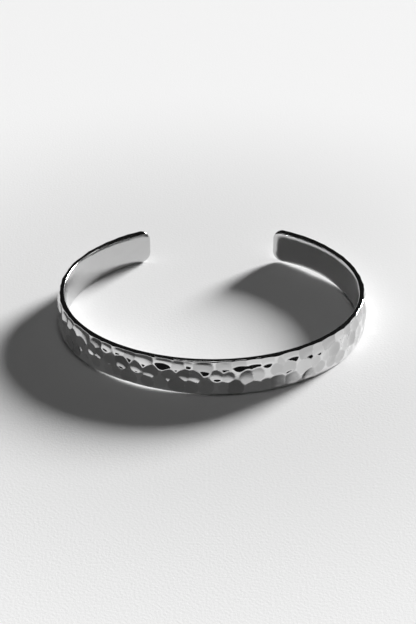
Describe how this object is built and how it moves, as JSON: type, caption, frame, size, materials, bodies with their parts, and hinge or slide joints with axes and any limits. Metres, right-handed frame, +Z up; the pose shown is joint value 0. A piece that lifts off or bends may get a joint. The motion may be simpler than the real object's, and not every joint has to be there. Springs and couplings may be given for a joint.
{
  "type": "hammered silver cuff bracelet",
  "caption": "Open oval cuff bracelet: one flat silver band with a hammered outer face, a smooth inner face, softened edges and rounded tips.",
  "frame": {"origin": "on the surface the cuff lies on, under the middle of its outside box", "axes": "+X to the right along the long axis of the oval, +Y towards the opening between the tips, +Z up across the width of the band"},
  "size_m": [0.0624, 0.0508, 0.0078],
  "materials": {
    "polished_silver": "polished silver, hammered outside and smooth inside"
  },
  "bodies": {
    "root": {"cuff_band": "polished_silver"}
  },
  "joints": []
}
